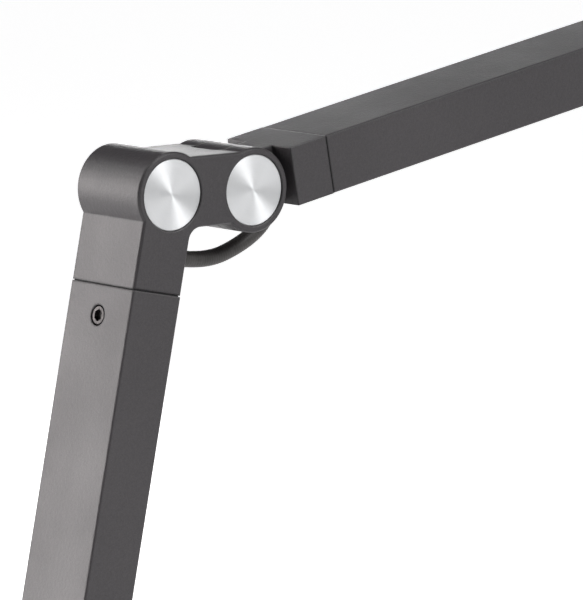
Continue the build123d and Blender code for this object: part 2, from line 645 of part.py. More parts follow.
with BuildPart() as base_set_screws:
    screw_face = HALF_WIDTH - SET_SCREW_SUNK
    for face in (BASE_SIDE.offset(screw_face), BASE_SIDE.offset(-screw_face)):
        inward = -1 if face.origin.Y < 0 else 1
        with BuildSketch(face):
            with Locations((TONGUE_HEIGHT / 2 - BASE_LEG, 0)):
                Circle(SET_SCREW_RADIUS)
        extrude(amount=inward * BASE_SCREW_LENGTH)
        with BuildSketch(face):
            with Locations((TONGUE_HEIGHT / 2 - BASE_LEG, 0)):
                RegularPolygon(SET_SCREW_SOCKET / 2, 6, major_radius=False)
        extrude(amount=inward * SET_SCREW_LENGTH / 2, mode=Mode.SUBTRACT)
save(base_set_screws, "base_set_screws")

with BuildPart() as power_inlet:
    inlet_face = face_plane(BASE_SIDE, -INLET_HEIGHT, HALF_DEPTH)
    with BuildSketch(inlet_face):
        Circle(INLET_RADIUS)
    extrude(amount=-INLET_DEPTH)
    with BuildSketch(inlet_face):
        Circle(INLET_FLANGE_RADIUS)
    extrude(amount=INLET_FLANGE)
    chamfer(power_inlet.edges().filter_by(GeomType.CIRCLE).sort_by(SortBy.RADIUS)[-1], INLET_FLANGE / 2)
    with BuildSketch(inlet_face.offset(INLET_FLANGE)):
        Circle(INLET_BORE_RADIUS)
        Circle(INLET_PIN_RADIUS, mode=Mode.SUBTRACT)
    extrude(amount=-INLET_BORE_DEPTH, mode=Mode.SUBTRACT)
save(power_inlet, "power_inlet")

disc_caps("base_discs", BASE_SIDE, [(0, 0), (PIVOT_ALONG, TOWARD_BACK * PIVOT_ASIDE)])
joint_hardware("shoulder", BASE_SIDE, (PIVOT_ALONG, TOWARD_BACK * PIVOT_ASIDE))

# ---------------------------------------------------------------- lower arm
LOWER_TUBE_START = BLOCK_END + SEAM
LOWER_TUBE_END = LOWER_ARM - LEG_LENGTH - SEAM
LOWER_SCREWS = (BLOCK_END + SET_SCREW_FROM_SEAM, LOWER_ARM - LEG_LENGTH - SET_SCREW_FROM_SEAM)

with BuildPart() as lower_arm_foot:
    knuckle_casting(LOWER_SIDE, TOWARD_BACK)
    spigot(LOWER_SIDE, BLOCK_END, BLOCK_END + SPIGOT_LENGTH, TOWARD_BACK)
save(lower_arm_foot, "lower_arm_foot")

with BuildPart() as lower_arm_tube:
    arm_tube(LOWER_SIDE, LOWER_TUBE_START, LOWER_TUBE_END, LOWER_SCREWS, TOWARD_BACK)
save(lower_arm_tube, "lower_arm_tube")
set_screws("lower_arm_set_screws", LOWER_SIDE, LOWER_SCREWS, TOWARD_BACK)

with BuildPart() as elbow_bracket:
    dogleg_casting(elbow_bracket, ELBOW_SIDE, TOWARD_FRONT, LEG_LENGTH, SLOT_RADIUS)
    spigot(ELBOW_SIDE, -LEG_LENGTH, -LEG_LENGTH - SPIGOT_LENGTH, TOWARD_BACK)
save(elbow_bracket, "elbow_bracket")

disc_caps("elbow_discs", ELBOW_SIDE, [(0, 0), (PIVOT_ALONG, TOWARD_FRONT * PIVOT_ASIDE)])
joint_hardware("elbow", ELBOW_SIDE, (PIVOT_ALONG, TOWARD_FRONT * PIVOT_ASIDE))

# ---------------------------------------------------------------- upper arm
UPPER_TUBE_START = BLOCK_END + SEAM
UPPER_TUBE_END = UPPER_ARM - BLOCK_END - SEAM
UPPER_SCREWS = (BLOCK_END + SET_SCREW_FROM_SEAM, UPPER_ARM - BLOCK_END - SET_SCREW_FROM_SEAM)
UNDERSIDE = -1

with BuildPart() as upper_arm_root:
    knuckle_casting(UPPER_SIDE, UNDERSIDE)
    spigot(UPPER_SIDE, BLOCK_END, BLOCK_END + SPIGOT_LENGTH, UNDERSIDE)
save(upper_arm_root, "upper_arm_root")

with BuildPart() as upper_arm_tube:
    arm_tube(UPPER_SIDE, UPPER_TUBE_START, UPPER_TUBE_END, UPPER_SCREWS, UNDERSIDE)
save(upper_arm_tube, "upper_arm_tube")
set_screws("upper_arm_set_screws", UPPER_SIDE, UPPER_SCREWS, UNDERSIDE)

HEAD_BLOCK_START = UPPER_ARM - BLOCK_END
HEAD_CABLE_EXIT = UPPER_ARM - BLOCK_START - CABLE_FROM_EARS

with BuildPart() as head_bracket:
    with BuildSketch(UPPER_SIDE):
        with Locations((UPPER_ARM, 0)):
            Circle(BARREL_RADIUS)
        with Locations((UPPER_ARM - BLOCK_END / 2, 0)):
            Rectangle(BLOCK_END, TUBE_DEPTH)
    extrude(amount=HALF_WIDTH, both=True)
    bevel_faces(head_bracket, UPPER_SIDE, EDGE)
    ear_slot(UPPER_SIDE, (UPPER_ARM, 0), SLOT_RADIUS)
    disc_pockets(UPPER_SIDE, (UPPER_ARM, 0), HALF_WIDTH - EAR_FLOOR)
    hole_through(UPPER_SIDE, (UPPER_ARM, 0), BOLT_RADIUS + HOLE_GAP, HALF_WIDTH)
    channel_end = HEAD_CABLE_EXIT + CABLE_HOLE
    block(UPPER_SIDE, HEAD_BLOCK_START, channel_end, CHANNEL_WIDTH, CHANNEL_DEPTH, Mode.SUBTRACT)
    spigot(UPPER_SIDE, HEAD_BLOCK_START, HEAD_BLOCK_START - SPIGOT_LENGTH, UNDERSIDE)
    wall_hole(UPPER_SIDE, HEAD_CABLE_EXIT, -HALF_DEPTH, CABLE_HOLE)
save(head_bracket, "head_bracket")

disc_caps("head_discs", UPPER_SIDE, [(UPPER_ARM, 0)])
joint_hardware("head", UPPER_SIDE, (UPPER_ARM, 0))

# ---------------------------------------------------------------- head
HEAD_UPRIGHT = cross_plane(HEAD_SIDE, 0)  # looks down the stem; offsets count down from the head pivot
HEAD_CEILING = HEAD_DROP + HEAD_TOP
HEAD_BOTTOM = HEAD_DROP + HEAD_HEIGHT
BUSH_END = HEAD_CEILING + HEAD_BOSS
HEAD_RING_START = BUSH_END + THREAD_GAP
PIN_END = HEAD_RING_START + HEAD_RING + EDGE
BOARD_TOP = PIN_END + BOARD_CLEARANCE
RIB_BOTTOM = BOARD_TOP
BOARD_BOTTOM = BOARD_TOP + BOARD_THICKNESS
DIFFUSER_TOP = HEAD_BOTTOM - DIFFUSER_THICKNESS
HALF_HEAD_DEPTH = HEAD_DEPTH / 2
INNER_HALF_DEPTH = HALF_HEAD_DEPTH - HEAD_WALL
PROFILE_HALF_LENGTH = HEAD_LENGTH / 2 - CAP_WALL
INSIDE_HALF_LENGTH = PROFILE_HALF_LENGTH - CAP_PLUG - SEAM


def head_plate(builder_plane, length, width, thickness):
    """Flat rectangular piece lying across the head, downward from a plane."""
    with BuildSketch(builder_plane) as profile:
        Rectangle(length, width)
    extrude(profile.sketch, amount=thickness)


def head_outline():
    """Outer profile of the housing: rounded at the top, square at the bottom edge."""
    with BuildLine() as edge:
        Polyline(
            (HEAD_BOTTOM, -HALF_HEAD_DEPTH),
            (HEAD_DROP, -HALF_HEAD_DEPTH),
            (HEAD_DROP, HALF_HEAD_DEPTH),
            (HEAD_BOTTOM, HALF_HEAD_DEPTH),
            close=True,
        )
    make_face(edge.edges())


with BuildPart() as head_knuckle:
    with BuildSketch(HEAD_SIDE):
        Circle(BARREL_RADIUS)
    extrude(amount=KNUCKLE_HALF, both=True)
    with BuildSketch(HEAD_UPRIGHT.offset(BARREL_RADIUS - EDGE)):
        Circle(STEM_RADIUS)
    extrude(amount=HEAD_DROP - BARREL_RADIUS)
    with BuildSketch(HEAD_UPRIGHT.offset(HEAD_DROP - SEAM - STEM_COLLAR)):
        Circle(STEM_COLLAR_RADIUS)
    extrude(amount=STEM_COLLAR)
    with BuildSketch(HEAD_UPRIGHT.offset(HEAD_DROP - EDGE)):
        Circle(HEAD_PIN_RADIUS)
    extrude(amount=PIN_END - HEAD_DROP + EDGE)
    with BuildSketch(HEAD_UPRIGHT.offset(HEAD_RING_START)):
        Circle(HEAD_PIN_RADIUS)
        Circle(HEAD_PIN_RADIUS - RING_GROOVE, mode=Mode.SUBTRACT)
    extrude(amount=HEAD_RING, mode=Mode.SUBTRACT)
    with BuildSketch(HEAD_UPRIGHT.offset(STEM_ENTRY)):
        Circle(HEAD_BORE_RADIUS)
    extrude(amount=PIN_END - STEM_ENTRY, mode=Mode.SUBTRACT)
    with BuildSketch(face_plane(HEAD_SIDE, STEM_ENTRY, -STEM_RADIUS - EDGE)):
        Circle(HEAD_BORE_RADIUS)
    extrude(amount=-STEM_RADIUS - EDGE, mode=Mode.SUBTRACT)
    hole_through(HEAD_SIDE, (0, 0), BOLT_RADIUS + THREAD_GAP + BUSH_WALL, KNUCKLE_HALF)
save(head_knuckle, "head_knuckle")

with BuildPart() as stem_bush:
    with BuildSketch(HEAD_UPRIGHT.offset(HEAD_DROP)):
        Circle(HEAD_PIN_RADIUS + THREAD_GAP + SWIVEL_BUSH_WALL)
        Circle(HEAD_PIN_RADIUS + THREAD_GAP, mode=Mode.SUBTRACT)
    extrude(amount=BUSH_END - HEAD_DROP)
save(stem_bush, "stem_bush")

with BuildPart() as stem_ring:
    with BuildSketch(HEAD_UPRIGHT.offset(HEAD_RING_START)):
        Circle(HEAD_PIN_RADIUS + SWIVEL_BUSH_WALL)
        Circle(HEAD_PIN_RADIUS - RING_GROOVE, mode=Mode.SUBTRACT)
        with Locations((HEAD_PIN_RADIUS, 0)):
            Rectangle(HEAD_PIN_RADIUS, RING_OPENING, mode=Mode.SUBTRACT)
    extrude(amount=HEAD_RING)
save(stem_ring, "stem_ring")

with BuildPart() as head_housing:
    with BuildSketch(HEAD_SIDE):
        head_outline()
        with BuildLine():
            Polyline(
                (HEAD_BOTTOM, -INNER_HALF_DEPTH),
                (HEAD_CEILING, -INNER_HALF_DEPTH),
                (HEAD_CEILING, INNER_HALF_DEPTH),
                (HEAD_BOTTOM, INNER_HALF_DEPTH),
                close=True,
            )
        make_face(mode=Mode.SUBTRACT)
        for aside in (-INNER_HALF_DEPTH + RIB / 2, INNER_HALF_DEPTH - RIB / 2):
            with Locations((RIB_BOTTOM - RIB / 2, aside)):
                Rectangle(RIB, RIB)
    extrude(amount=PROFILE_HALF_LENGTH, both=True)
    top_edges = head_housing.edges().filter_by(Axis.Y).group_by(Axis.Z)[-1]
    fillet(top_edges, HEAD_CORNER)
    with BuildSketch(HEAD_UPRIGHT.offset(HEAD_CEILING)):
        Circle(HEAD_BOSS_RADIUS)
    extrude(amount=HEAD_BOSS)
    with BuildSketch(HEAD_UPRIGHT.offset(HEAD_DROP)):
        Circle(HEAD_PIN_RADIUS + THREAD_GAP + SWIVEL_BUSH_WALL)
    extrude(amount=BUSH_END - HEAD_DROP, mode=Mode.SUBTRACT)
    with BuildSketch(HEAD_UPRIGHT.offset(HEAD_DROP)):
        with Locations((TOUCH_PLACE, 0)):
            RectangleRounded(TOUCH_LENGTH, TOUCH_WIDTH, TOUCH_CORNER)
    extrude(amount=TOUCH_DEPTH, mode=Mode.SUBTRACT)
save(head_housing, "head_housing")

with BuildPart() as touch_panel:
    with BuildSketch(HEAD_UPRIGHT.offset(HEAD_DROP)):
        with Locations((TOUCH_PLACE, 0)):
            RectangleRounded(TOUCH_LENGTH - HOLE_GAP, TOUCH_WIDTH - HOLE_GAP, TOUCH_CORNER)
    extrude(amount=TOUCH_DEPTH)
save(touch_panel, "touch_panel")

with BuildPart() as control_board:
    with BuildSketch(HEAD_UPRIGHT.offset(HEAD_CEILING + CONTROL_GAP)):
        with Locations((TOUCH_PLACE, 0)):
            Rectangle(CONTROL_LENGTH, CONTROL_WIDTH)
    extrude(amount=BOARD_THICKNESS)
    with BuildSketch(HEAD_UPRIGHT.offset(HEAD_CEILING + CONTROL_GAP + BOARD_THICKNESS)):
        with GridLocations(CHIP_PITCH, CHIP_PITCH / 2, 3, 2):
            with Locations((TOUCH_PLACE, 0)):
                Rectangle(CHIP_SIZE, CHIP_SIZE)
    extrude(amount=LED_HEIGHT)
save(control_board, "control_board")

plate_width = 2 * (INNER_HALF_DEPTH - HOLE_GAP)
with BuildPart() as led_board:
    head_plate(HEAD_UPRIGHT.offset(BOARD_TOP), 2 * INSIDE_HALF_LENGTH, plate_width, BOARD_THICKNESS)
save(led_board, "led_board")

with BuildPart() as leds:
    with BuildSketch(HEAD_UPRIGHT.offset(BOARD_BOTTOM)):
        with GridLocations(2 * INSIDE_HALF_LENGTH / (LED_COUNT / 2), LED_ROW_SPACING, LED_COUNT // 2, 2):
            Rectangle(LED_SIZE, LED_SIZE)
    extrude(amount=LED_HEIGHT)
save(leds, "leds")

with BuildPart() as diffuser:
    head_plate(HEAD_UPRIGHT.offset(DIFFUSER_TOP), 2 * INSIDE_HALF_LENGTH, plate_width, DIFFUSER_THICKNESS)
save(diffuser, "diffuser")

for name, near in (("end_cap_near", 1), ("end_cap_far", -1)):
    with BuildPart() as end_cap:
        with BuildSketch(HEAD_SIDE.offset(near * PROFILE_HALF_LENGTH)):
            head_outline()
        extrude(amount=near * CAP_WALL)
        fillet(end_cap.edges().filter_by(Axis.Y).group_by(Axis.Z)[-1], HEAD_CORNER)
        outer_face = end_cap.faces().sort_by(Axis.Y)[0 if near > 0 else -1]
        chamfer(outer_face.edges(), EDGE)
        with BuildSketch(HEAD_SIDE.offset(near * PROFILE_HALF_LENGTH)):
            with Locations(((RIB_BOTTOM + HEAD_BOTTOM) / 2, 0)):
                Rectangle(HEAD_BOTTOM - RIB_BOTTOM - 2 * HOLE_GAP, 2 * (INNER_HALF_DEPTH - HOLE_GAP))
        extrude(amount=-near * CAP_PLUG)
    save(end_cap, name)

# ---------------------------------------------------------------- cables
def on_side(side, spots):
    """Points of a swing plane as points in space."""
    return [side.from_local_coords((along, aside, 0)) for along, aside in spots]


def beside(place, offsets):
    """Points at (X, Z) offsets from a place, in the lamp's middle plane."""
    return [Vector(place.X + right, 0, place.Z + up) for right, up in offsets]


base_lead_route = on_side(BASE_SIDE, [(-36, -2.2), (-28.5, -2.4), (-21.8, -1.2), (-18.5, 3.2), (-18.1, 8)])
cable_tube(base_lead_route, LEAD_RADIUS, "base_lead")

shoulder_loop_route = [
    (-8.0, 59.0),
    (-18.5, 58.2),
    (-29.5, 58.4),
    (-40.0, 61.6),
    (-48.6, 68.6),
    (-53.6, 78.6),
    (-53.4, 89.6),
    (-47.0, 98.4),
    (-39.5, 101.2),
    (-32.1, 99.3),
]
cable_tube([Vector(right, 0, up) for right, up in shoulder_loop_route], CABLE_RADIUS, "shoulder_loop")

lower_cable_route = on_side(
    LOWER_SIDE,
    [
        (16.2, 4.4),
        (16.8, 0.6),
        (21.0, -1.0),
        (29.0, -1.2),
        (46.0, 0.6),
        (82.0, -1.0),
        (137.0, 1.2),
        (193.0, -1.0),
        (248.0, 1.2),
        (303.0, -1.0),
        (340.0, 0.8),
        (358.0, 1.3),
        (366.5, 1.2),
        (371.2, -1.0),
        (371.9, -5.0),
    ],
)
cable_tube(lower_cable_route, LEAD_RADIUS, "lower_arm_cable")

elbow_loop_route = beside(
    FIXED_BARREL,
    [
        (1.2, -18.75),
        (9.5, -20.6),
        (18.4, -22.3),
        (27.6, -22.4),
        (36.2, -19.7),
        (43.0, -16.3),
        (47.5, -12.2),
        (49.2, -6.8),
        (47.8, -2.9),
    ],
)
cable_tube(elbow_loop_route, CABLE_RADIUS, "elbow_loop")

upper_cable_route = on_side(
    UPPER_SIDE,
    [
        (16.2, -4.4),
        (16.8, -0.6),
        (21.0, 1.0),
        (29.0, 1.2),
        (46.0, -0.6),
        (82.0, 1.0),
        (137.0, -1.2),
        (193.0, 1.0),
        (248.0, -1.2),
        (290.0, 0.8),
        (320.0, -0.6),
        (334.0, 1.0),
        (341.5, 1.2),
        (345.7, -1.0),
        (346.3, -5.0),
    ],
)
cable_tube(upper_cable_route, LEAD_RADIUS, "upper_arm_cable")

head_loop_route = beside(
    HEAD_PIVOT,
    [
        (-22.4, -9.3),
        (-22.0, -17.3),
        (-26.6, -24.2),
        (-24.6, -32.0),
        (-17.0, -34.6),
        (-9.8, -32.2),
        (-2.6, -29.0),
    ],
)
cable_tube(head_loop_route, HEAD_CABLE_RADIUS, "head_loop")

with BuildPart() as head_lead:
    with BuildSketch(HEAD_UPRIGHT.offset(STEM_ENTRY)):
        Circle(LEAD_RADIUS)
    extrude(amount=BOARD_TOP - STEM_ENTRY)
save(head_lead, "head_lead")
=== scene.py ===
"""Looks of the swing arm desk lamp: graphite castings, spun discs, ribbed cables and an opal light bar."""

import json
from math import cos, pi, radians, sin

import bmesh
import bpy
from mathutils import Matrix, Vector


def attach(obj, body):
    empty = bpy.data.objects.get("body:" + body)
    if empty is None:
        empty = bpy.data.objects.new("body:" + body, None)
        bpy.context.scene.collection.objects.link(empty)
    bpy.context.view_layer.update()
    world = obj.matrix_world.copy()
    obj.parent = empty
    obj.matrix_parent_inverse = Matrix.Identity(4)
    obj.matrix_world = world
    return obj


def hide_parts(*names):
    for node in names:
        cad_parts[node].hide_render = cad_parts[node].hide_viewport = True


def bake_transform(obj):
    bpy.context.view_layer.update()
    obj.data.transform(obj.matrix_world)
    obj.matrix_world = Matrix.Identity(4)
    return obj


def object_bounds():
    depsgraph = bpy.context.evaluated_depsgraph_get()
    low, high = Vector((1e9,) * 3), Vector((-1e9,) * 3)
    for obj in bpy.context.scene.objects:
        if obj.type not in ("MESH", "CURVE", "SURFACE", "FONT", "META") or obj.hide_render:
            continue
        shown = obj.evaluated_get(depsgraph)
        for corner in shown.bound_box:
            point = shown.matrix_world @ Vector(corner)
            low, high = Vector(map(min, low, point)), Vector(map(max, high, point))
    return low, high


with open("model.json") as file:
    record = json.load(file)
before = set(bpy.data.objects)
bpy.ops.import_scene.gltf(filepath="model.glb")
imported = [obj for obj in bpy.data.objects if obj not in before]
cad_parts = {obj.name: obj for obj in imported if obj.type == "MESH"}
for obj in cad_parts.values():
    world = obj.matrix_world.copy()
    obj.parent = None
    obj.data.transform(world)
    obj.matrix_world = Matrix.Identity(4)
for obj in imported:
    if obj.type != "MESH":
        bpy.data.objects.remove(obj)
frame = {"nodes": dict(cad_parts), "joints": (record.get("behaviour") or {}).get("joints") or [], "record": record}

CAD_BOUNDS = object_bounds()
MM = 0.001
ACROSS = Vector((0, 1, 0))  # along the arms' pivots, from the near side to the far side

# ---------------------------------------------------------------- places, from the frame
JOINTS = {joint["name"]: joint for joint in frame["joints"]}
SHOULDER = Vector(JOINTS["shoulder_pivot"]["pos_m"])
ELBOW = Vector(JOINTS["elbow_pivot"]["pos_m"])
HEAD_PIVOT = Vector(JOINTS["head_tilt"]["pos_m"])
PIVOT_FROM_BARREL = Vector((30.95, 0, -1.03)) * MM
FIXED_BARREL = ELBOW - PIVOT_FROM_BARREL
FLOOR_GAP = 0.5 * MM
FLOOR_HEIGHT = CAD_BOUNDS[0][2] - FLOOR_GAP

# ---------------------------------------------------------------- camera
CAMERA_YAW = radians(39.9)
CAMERA_PITCH = radians(8.255)
CAMERA_DISTANCE = 1.589
CAMERA_LENS = 315.0
CAMERA_TARGET = FIXED_BARREL + Vector((57.58, 0, -38.01)) * MM


def add_camera():
    """Camera at the reference viewing angle: a long lens that looks down a little, from the near left."""
    data = bpy.data.cameras.new("camera")
    data.lens = CAMERA_LENS
    data.sensor_width = 36.0
    data.clip_end = 60.0
    camera = bpy.data.objects.new("camera", data)
    bpy.context.collection.objects.link(camera)
    level = cos(CAMERA_PITCH)
    look = Vector((sin(CAMERA_YAW) * level, cos(CAMERA_YAW) * level, -sin(CAMERA_PITCH)))
    camera.location = CAMERA_TARGET - look * CAMERA_DISTANCE
    camera.rotation_euler = look.to_track_quat("-Z", "Y").to_euler()
    bpy.context.scene.camera = camera


add_camera()


# ---------------------------------------------------------------- material kit
class Material:
    """A node material with its Principled shader and short ways to add and link nodes."""

    def __init__(self, name, **values):
        self.data = bpy.data.materials.new(name)
        self.data.use_nodes = True
        self.nodes = self.data.node_tree.nodes
        self.links = self.data.node_tree.links
        self.shader = self.nodes["Principled BSDF"]
        self.coords = self.nodes.new("ShaderNodeTexCoord").outputs["Object"]
        for socket, value in values.items():
            self.shader.inputs[socket.replace("_", " ")].default_value = value

    def node(self, kind, inputs=None, **settings):
        """Add a node, set its properties, and set or link its inputs."""
        node = self.nodes.new("ShaderNode" + kind)
        for key, value in settings.items():
            setattr(node, key, value)
        for key, value in (inputs or {}).items():
            if isinstance(value, bpy.types.NodeSocket):
                self.links.new(value, node.inputs[key])
            else:
                node.inputs[key].default_value = value
        return node

    def noise(self, scale, detail=2.0, roughness=0.5, coords=None):
        """Noise from 0 to 1, scale in features per metre."""
        source = coords or self.coords
        inputs = {"Vector": source, "Scale": scale, "Detail": detail, "Roughness": roughness}
        return self.node("TexNoise", inputs).outputs["Fac"]

    def remap(self, value, low, high, start=0.0, end=1.0):
        """Map a value from start..end to low..high, clamped."""
        inputs = {"Value": value, "From Min": start, "From Max": end, "To Min": low, "To Max": high}
        return self.node("MapRange", inputs).outputs["Result"]

    def math(self, operation, a, b=0.0):
        """One arithmetic step."""
        return self.node("Math", {0: a, 1: b}, operation=operation).outputs[0]

    def blend(self, factor, a, b):
        """Mix two colours."""
        node = self.node("Mix", {0: factor}, data_type="RGBA")
        for index, colour in ((6, a), (7, b)):
            if isinstance(colour, bpy.types.NodeSocket):
                self.links.new(colour, node.inputs[index])
            else:
                node.inputs[index].default_value = (*colour, 1.0)
        return node.outputs[2]

    def bump(self, height, distance, strength=1.0, below=None):
        """Bump from a height, with the depth of its full range in metres."""
        inputs = {"Height": height, "Distance": distance, "Strength": strength}
        if below is not None:
            inputs["Normal"] = below
        return self.node("Bump", inputs).outputs["Normal"]

    def link(self, output, socket):
        """Link to a socket of the shader."""
        self.links.new(output, self.shader.inputs[socket])

    def stretched(self, scale):
        """Object coordinates scaled per axis."""
        return self.node("Mapping", {"Vector": self.coords, "Scale": scale}).outputs["Vector"]


GRAPHITE_DARK = (0.036, 0.033, 0.036)
GRAPHITE_LIGHT = (0.068, 0.062, 0.066)
# painted light on the edges: a painted highlight on edges that face up, painted shade on edges that face down
EDGE_PAINTED_HIGHLIGHT = (0.17, 0.165, 0.165)
EDGE_PAINTED_SHADE = (0.008, 0.008, 0.009)
EDGE_PAINTED_LIGHT_SHARE = 0.8  # share of the painted edge light and shade on the sharpest edges
EDGE_ROUND = 0.95 * MM  # radius by which the shading rounds the edges


def graphite_paint():
    """Satin graphite powder coat: fine grain, faint clouds, softened edges with a painted highlight on upper edges
    and painted shade on lower edges, and slightly glossier spots.
    """
    paint = Material("satin_graphite", Specular_IOR_Level=0.5)
    cloud = paint.noise(9.0, 3.0)
    grain = paint.noise(2600.0, 2.0, 0.6)
    fine = paint.noise(6500.0, 1.0)
    tone = paint.math("ADD", paint.math("MULTIPLY", cloud, 0.5), paint.math("MULTIPLY", grain, 0.5))
    body = paint.blend(paint.remap(tone, 0.0, 1.0, 0.3, 0.7), GRAPHITE_DARK, GRAPHITE_LIGHT)
    rounded = paint.node("Bevel", {"Radius": EDGE_ROUND}, samples=6).outputs["Normal"]
    flat = paint.node("NewGeometry").outputs["Normal"]
    facing = paint.node("VectorMath", {0: rounded, 1: flat}, operation="DOT_PRODUCT").outputs["Value"]
    # painted edge light: the sharper an edge, the more its colour turns to the painted highlight or shade below
    painted_edge_mask = paint.remap(facing, EDGE_PAINTED_LIGHT_SHARE, 0.0, 0.88, 0.985)
    # lighter where the rounded normal faces up, as if lit from above, and darker where it faces down: painted
    # light and shade
    upward = paint.node("SeparateXYZ", {"Vector": rounded}).outputs["Z"]
    painted_edge_light = paint.blend(paint.remap(upward, 0.0, 1.0, 0.2, 0.6), EDGE_PAINTED_SHADE, EDGE_PAINTED_HIGHLIGHT)
    paint.link(paint.blend(painted_edge_mask, body, painted_edge_light), "Base Color")
    smudge = paint.noise(38.0, 4.0, 0.6)
    paint.link(paint.remap(smudge, 0.37, 0.45, 0.3, 0.7), "Roughness")
    mottle = paint.noise(850.0, 3.0, 0.65)
    mottled = paint.bump(mottle, 0.00018, 0.7, rounded)
    coarse_bump = paint.bump(grain, 0.00004, 0.5, mottled)
    paint.link(paint.bump(fine, 0.000008, 0.3, coarse_bump), "Normal")
    return paint.data


def plain_plastic(name, colour, roughness, grain_scale=1800.0, depth=0.00003):
    """Moulded plastic or rubber with a fine texture and slightly uneven gloss."""
    plastic = Material(name, Specular_IOR_Level=0.4)
    grain = plastic.noise(grain_scale, 2.0)
    cloud = plastic.noise(30.0, 3.0)
    darker = tuple(value * 0.85 for value in colour)
    lighter = tuple(min(1.0, value * 1.15) for value in colour)
    plastic.link(plastic.blend(plastic.remap(cloud, 0.0, 1.0, 0.3, 0.7), darker, lighter), "Base Color")
    plastic.link(plastic.remap(cloud, roughness - 0.05, roughness + 0.05, 0.3, 0.7), "Roughness")
    plastic.link(plastic.bump(grain, depth, 0.5), "Normal")
    return plastic.data


def turned_metal(name, colour, roughness, scale=(900.0, 900.0, 2400.0)):
    """Machined or plated metal with fine tool marks and small stains."""
    metal = Material(name, Metallic=1.0)
    marks = metal.noise(1.0, 3.0, 0.6, metal.stretched(scale))
    stain = metal.noise(120.0, 4.0, 0.6)
    darker = tuple(value * 0.75 for value in colour)
    metal.link(metal.blend(metal.remap(stain, 0.0, 1.0, 0.35, 0.65), colour, darker), "Base Color")
    metal.link(metal.remap(marks, roughness - 0.08, roughness + 0.1, 0.3, 0.7), "Roughness")
    metal.link(metal.bump(marks, 0.000015, 0.5), "Normal")
    return metal.data


def spun_metal():
    """Spun aluminium: concentric turning lines, seen as two bright fans."""
    metal = Material("spun_aluminium", Metallic=1.0, Anisotropic=0.74, Anisotropic_Rotation=0.25)
    tangent = metal.node("Tangent", direction_type="RADIAL", axis="Z").outputs["Tangent"]
    metal.link(tangent, "Tangent")
    axes = metal.node("SeparateXYZ", {"Vector": metal.coords}).outputs
    square = metal.math("ADD", metal.math("POWER", axes["X"], 2.0), metal.math("POWER", axes["Y"], 2.0))
    radius = metal.math("SQRT", square)
    place = metal.node("CombineXYZ", {"X": radius}).outputs[0]
    rings = metal.noise(5200.0, 3.0, 0.7, place)
    broad = metal.noise(900.0, 2.0, 0.5, place)
    ring_tone = metal.remap(rings, 0.0, 1.0, 0.3, 0.7)
    metal.link(metal.blend(ring_tone, (0.83, 0.84, 0.85), (0.90, 0.91, 0.92)), "Base Color")
    metal.link(metal.remap(broad, 0.44, 0.52, 0.3, 0.7), "Roughness")
    metal.link(metal.bump(rings, 0.000004, 0.25), "Normal")
    return metal.data


def opal_acrylic():
    """Satin opal sheet."""
    acrylic = Material("opal_acrylic", Roughness=0.38, Specular_IOR_Level=0.5, Subsurface_Weight=0.25)
    acrylic.shader.inputs["Subsurface Radius"].default_value = (0.004, 0.004, 0.0035)
    cloud = acrylic.noise(45.0, 3.0)
    acrylic.link(acrylic.blend(cloud, (0.86, 0.86, 0.84), (0.90, 0.90, 0.88)), "Base Color")
    acrylic.link(acrylic.bump(acrylic.noise(1500.0, 2.0), 0.00003, 0.3), "Normal")
    return acrylic.data


def cable_rubber():
    """Soft matt cable sleeve, a little dusty along its ribs."""
    rubber = Material("cable_rubber", Specular_IOR_Level=0.45)
    dust = rubber.noise(260.0, 4.0, 0.65)
    dusty = rubber.remap(dust, 0.0, 1.0, 0.35, 0.7)
    rubber.link(rubber.blend(dusty, (0.044, 0.041, 0.039), (0.075, 0.070, 0.068)), "Base Color")
    rubber.link(rubber.remap(dust, 0.40, 0.52, 0.3, 0.7), "Roughness")
    rubber.link(rubber.bump(rubber.noise(3000.0, 2.0), 0.00002, 0.4), "Normal")
    return rubber.data


MATERIALS = {
    "satin_graphite": graphite_paint(),
    "spun_aluminium": spun_metal(),
    "clear_zinc_steel": turned_metal("zinc_steel", (0.62, 0.63, 0.62), 0.34),
    "set_screw_steel": turned_metal("set_screw_steel", (0.10, 0.095, 0.095), 0.5),
    "black_steel": turned_metal("black_steel", (0.13, 0.125, 0.12), 0.38),
    "spring_steel": turned_metal("spring_steel", (0.38, 0.37, 0.35), 0.36),
    "bronze_bush": turned_metal("bronze", (0.62, 0.46, 0.25), 0.42),
    "brass_insert": turned_metal("brass", (0.74, 0.60, 0.32), 0.32),
    "friction_plastic": plain_plastic("white_washer", (0.78, 0.77, 0.73), 0.45),
    "black_rubber": plain_plastic("black_rubber", (0.030, 0.030, 0.031), 0.75, 900.0, 0.00008),
    "black_plastic": plain_plastic("black_plastic", (0.040, 0.040, 0.042), 0.50),
    "cable_sleeve": cable_rubber(),
    "diffuser_acrylic": opal_acrylic(),
    "circuit_board": plain_plastic("board_white", (0.78, 0.79, 0.77), 0.45),
    "control_laminate": plain_plastic("board_green", (0.03, 0.20, 0.10), 0.35),
    "led_phosphor": plain_plastic("phosphor", (0.88, 0.70, 0.22), 0.35),
    "touch_glass": plain_plastic("touch_glass", (0.015, 0.015, 0.017), 0.12, 400.0, 0.000004),
}


SLOTS = {part["node"]: part["material_slot"] for part in frame["record"]["subparts"]}
for name, node in frame["nodes"].items():
    node.data.materials.clear()
    node.data.materials.append(MATERIALS[SLOTS[name]])


# ---------------------------------------------------------------- mesh kit
def new_piece(name, mesh, material):
    """Link a mesh as a named object with its finish."""
    piece = bpy.data.objects.new(name, mesh)
    bpy.context.collection.objects.link(piece)
    mesh.materials.append(MATERIALS[material])
    return piece


def hexagon(across_flats, turn):
    """Radius of a hexagon at a turn from one of its corners."""
    return across_flats / 2 / cos((turn % (pi / 3)) - pi / 6)


